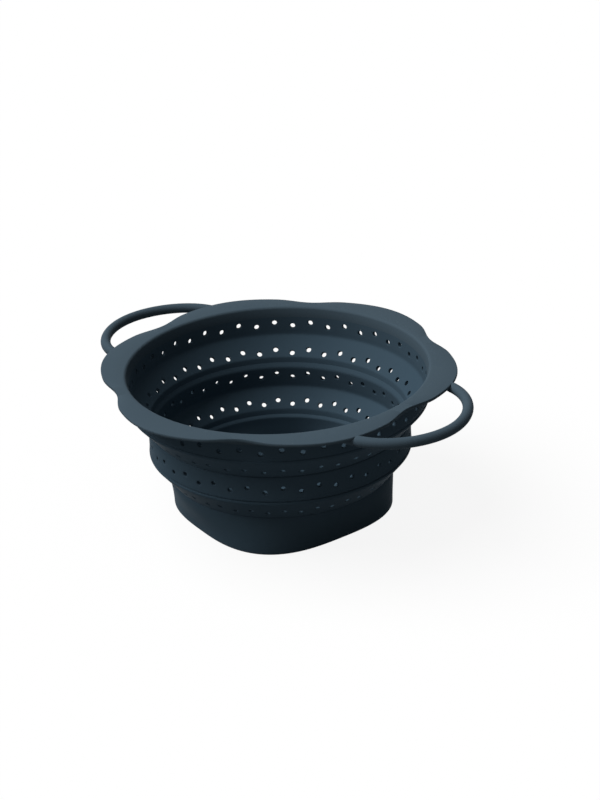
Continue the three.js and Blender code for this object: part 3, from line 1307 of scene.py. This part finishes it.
@dataclass
class Handle:
    """One loop handle, a round rod that runs out of the rim's edge and back."""

    rim: Rim
    diameter: float = 7.0
    root_angle: float = 23.7
    root_inset: float = 0.4
    reach: float = 36.2
    lean: float = 11.0
    pull: float = 0.55
    hold: float = 0.48
    nose: float = 2.5  # of the rod's rounded end, inside the rim
    anchor: float = 12.0  # length of the ribs inside the rim
    rib_inset: float = 0.1  # of a rib under the rim's top face
    rib_start: float = 1.0  # of a rib, inside the end of the rod
    steps: int = 72
    sides: int = 32
    swings: tuple[int, ...] = (90, 70, 50, 30, 10)  # degrees round a rod's rounded end

    @property
    def root(self) -> Vector:
        """The middle of the rod's end."""
        angle = math.radians(self.root_angle)
        radius = self.rim.outline(angle) - self.root_inset
        return polar(radius, angle, self.rim.line.rim_top - self.diameter / 2)

    @property
    def out(self) -> Vector:
        """The direction in which the rod leaves the rim."""
        return polar(1, -math.radians(self.lean))

    def _ending(self, length: float) -> list[tuple[float, float]]:
        """Gives the sections of a rod's rounded end.

        Args:
            length: how long the rounding is.

        Returns:
            Each section's way past the straight rod and its share of the radius, in order.
        """
        swings = [math.radians(swing) for swing in self.swings]
        return [(length * math.cos(swing), math.sin(swing)) for swing in swings]

    def ribs(self) -> Mesh:
        """Makes the four ribs that run on inwards from the ends of both rods.

        Returns:
            The ribs' mesh.
        """
        root, out = self.root, self.out
        radius = self.diameter / 2 - self.rib_inset
        sections = [(self.rib_start, 1.0)]
        sections += [(self.anchor + past, share) for past, share in self._ending(radius)]
        ribs = bmesh.new()
        for side in (1, -1):
            for end in (1, -1):
                flip = Vector((side, end, 1))
                stations = [
                    Station((root - out * back) * flip, out * flip, share)
                    for back, share in sections
                ]
                join(ribs, swept(stations, radius, self.sides))
        return ribs

    def _path(self) -> list[tuple[Vector, Vector]]:
        """Gives points and directions along the rod's middle line, for the loop on +X.

        Returns:
            Pairs of a point and the unit direction of the rod there.
        """
        root = self.root
        tip = Vector((root.x + self.reach, 0, root.z))
        leave = root + self.out * self.pull * self.reach
        turn = Vector((tip.x, self.hold * root.y, root.z))
        half = []
        for i in range(self.steps // 2 + 1):
            t = i / (self.steps // 2)
            point = (
                root * (1 - t) ** 3
                + leave * 3 * t * (1 - t) ** 2
                + turn * 3 * t * t * (1 - t)
                + tip * t**3
            )
            slope = (
                (leave - root) * (1 - t) ** 2
                + (turn - leave) * 2 * t * (1 - t)
                + (tip - turn) * t * t
            )
            half.append((point, slope.normalized()))
        flip = Matrix.Scale(-1, 3, (0, 1, 0))
        back = [(flip @ p, -(flip @ d)) for p, d in reversed(half[:-1])]
        return half + back

    def build(self, side: str, turn: float) -> None:
        """Makes one handle's sleeve, and dresses its wire.

        Args:
            side: the handle's side, which the names of its nodes start with.
            turn: the angle by which the loop on +X is turned.
        """
        path = self._path()
        first, along = path[0]
        last, away = path[-1]
        ends = self._ending(self.nose)
        stations = [Station(first - along * past, along, share) for past, share in ends[::-1]]
        stations += [Station(place, way) for place, way in path[1:-1]]
        stations += [Station(last + away * past, away, share) for past, share in ends]
        mesh = swept(stations, self.diameter / 2, self.sides)
        shop = self.rim.shop
        shop.finish(f"{side}_handle_sleeve", mesh, Slot.RIM, Part.RIM, turn)
        shop.dress(f"{side}_handle_wire", Slot.WIRE)


def towards(azimuth: float, elevation: float) -> Vector:
    """Gives the direction from the colander out to a place round it.

    Args:
        azimuth: the place's angle round +Z in degrees, from -Y.
        elevation: its angle over the worktop in degrees.

    Returns:
        The unit direction.
    """
    turn, rise = math.radians(azimuth), math.radians(elevation)
    level = math.cos(rise)
    return Vector((math.sin(turn) * level, -math.cos(turn) * level, math.sin(rise)))


@dataclass(frozen=True)
class PhotoCamera:
    """The camera, at the photograph's viewing angle."""

    azimuth: float = 43.35
    elevation: float = 24.99
    roll: float = 2.6
    lens: float = 75.4
    distance: float = 1.127
    aim_height: float = 0.0894
    aim_pixel: tuple[float, float] = (277.84, 382.41)
    image: tuple[int, int] = (600, 800)

    def build(self) -> None:
        """Makes the camera and gives it to the scene."""
        look = -towards(self.azimuth, self.elevation)
        turn, roll = math.radians(self.azimuth), math.radians(self.roll)
        right = polar(1, turn)
        up = right.cross(look)
        side = right * math.cos(roll) - up * math.sin(roll)
        top = up * math.cos(roll) + right * math.sin(roll)
        data = bpy.data.cameras.new("photo_camera")
        data.lens = self.lens
        wide, high = self.image
        data.shift_x = (wide / 2 - self.aim_pixel[0]) / high
        data.shift_y = (self.aim_pixel[1] - high / 2) / high
        camera = new_object("photo_camera", data)
        place = Vector((0, 0, self.aim_height)) - look * self.distance
        axes = Matrix((side, top, -look)).transposed()
        camera.matrix_world = Matrix.Translation(place) @ axes.to_4x4()
        bpy.context.scene.camera = camera


@dataclass(frozen=True)
class Studio:
    """A pale floor under a weak even sky, with one large soft key light high on the left.

    Its place and levels were solved from the photograph's shades. A flat surface gets a level of 1.
    """

    camera_azimuth: float
    floor_size: float = 12.0
    floor_colour: str = "ffffff"
    floor_bounce: str = "7a7a7a"
    floor_glow: float = 0.9
    sky_level: float = 0.14
    key_level: float = 1.06
    key_turn: float = 94.0  # round the object from the camera, leftwards
    key_rise: float = 55.0
    key_softness: float = 50.0

    def _seen(self, tree: bpy.types.NodeTree) -> bpy.types.NodeSocket:
        """Adds the test for rays that show the background, straight on or in a reflection.

        Args:
            tree: the node tree that the test goes into.

        Returns:
            A socket that is 1 for camera, glossy and transmission rays.
        """
        path = add_node(tree, "ShaderNodeLightPath").outputs
        seen = path["Is Camera Ray"]
        for kind in ("Is Glossy Ray", "Is Transmission Ray"):
            inputs = {0: seen, 1: path[kind]}
            either = add_node(tree, "ShaderNodeMath", {"operation": "MAXIMUM"}, inputs)
            seen = either.outputs["Value"]
        return seen

    def _key(self) -> None:
        """Adds the key light, a distant one, so that the whole floor is lit alike."""
        data = bpy.data.lights.new("key_light", "SUN")
        data.energy = self.key_level * math.pi
        data.angle = math.radians(self.key_softness)
        key = new_object("key_light", data)
        key.location = towards(self.camera_azimuth - self.key_turn, self.key_rise)
        key.rotation_euler = key.location.to_track_quat("Z", "Y").to_euler()

    def _sky(self) -> None:
        """Makes the world, white where it is seen and at a plain level where it lights."""
        world = bpy.data.worlds.new("studio")
        bpy.context.scene.world = world
        world.use_nodes = True
        tree = world.node_tree
        tree.nodes.clear()
        levels = {"Value": self._seen(tree), "To Min": self.sky_level, "To Max": 1.0}
        level = add_node(tree, "ShaderNodeMapRange", inputs=levels)
        back = add_node(
            tree,
            "ShaderNodeBackground",
            inputs={"Color": (1, 1, 1, 1), "Strength": level.outputs["Result"]},
        )
        surface = {"Surface": back.outputs["Background"]}
        add_node(tree, "ShaderNodeOutputWorld", inputs=surface)

    def _paint(self) -> bpy.types.Material:
        """Makes the floor's paint, white where it is seen and greyer where it throws light back.

        Returns:
            The new material.
        """
        material = new_material("painted_floor", self.floor_colour)
        tree = material.node_tree
        tree.nodes.clear()
        seen = self._seen(tree)
        white = linear(self.floor_colour)
        colours = {"Factor": seen, "A": linear(self.floor_bounce), "B": white}
        colour = add_node(tree, "ShaderNodeMix", {"data_type": "RGBA"}, colours)
        paint = add_node(tree, "ShaderNodeBsdfDiffuse", inputs={"Color": colour.outputs["Result"]})
        glow = add_node(tree, "ShaderNodeEmission", inputs={"Color": white})
        share = add_node(
            tree, "ShaderNodeMapRange", inputs={"Value": seen, "To Max": self.floor_glow}
        )
        both = add_node(
            tree,
            "ShaderNodeMixShader",
            inputs={
                "Fac": share.outputs["Result"],
                1: paint.outputs["BSDF"],
                2: glow.outputs["Emission"],
            },
        )
        surface = {"Surface": both.outputs["Shader"]}
        add_node(tree, "ShaderNodeOutputMaterial", inputs=surface)
        return material

    def _floor(self) -> None:
        """Makes the floor, which keeps the colander's shadow and throws little light back."""
        mesh = bmesh.new()
        bmesh.ops.create_grid(mesh, x_segments=1, y_segments=1, size=self.floor_size / 2)
        floor = new_object("floor", stored("floor", mesh))
        floor.data.materials.append(self._paint())

    def build(self) -> None:
        """Makes the sky, the floor and the key light."""
        bpy.context.scene.view_settings.view_transform = "Standard"
        self._sky()
        self._floor()
        self._key()


def main() -> None:
    """Builds the studio and every piece of the colander."""
    logging.basicConfig(level=logging.INFO, format="%(message)s")
    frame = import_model()
    finishes = {
        Slot.WALL: MouldedSilicone("moulded_silicone_wall", "3b4d5a", "40515d").build(),
        # painted sheen: the rim's colours are a lighter, greyer copy of the wall's, standing in for
        # the grey sheen on its lit flat top
        Slot.RIM: MouldedSilicone("moulded_silicone_rim_painted_sheen", "42515c", "475660").build(),
        # painted shade: the folds' colours are a slightly darker copy of the wall's, standing in for
        # the shade on the bands that face down
        Slot.FOLD: MouldedSilicone("moulded_silicone_fold_painted_shade", "394b58", "3e4f5b").build(),
        Slot.WIRE: DrawnSteel().build(),
    }
    shop = Workshop(frame, finishes)
    camera = PhotoCamera()
    camera.build()
    Studio(camera.azimuth).build()
    FoldingWall(shop).build()
    Base(shop).build()
    rim = Rim(shop)
    handle = Handle(rim)
    rim.build(handle.ribs())
    handle.build("right", 0)
    handle.build("left", math.pi)
    bpy.context.view_layer.update()


if __name__ == "__main__":
    main()
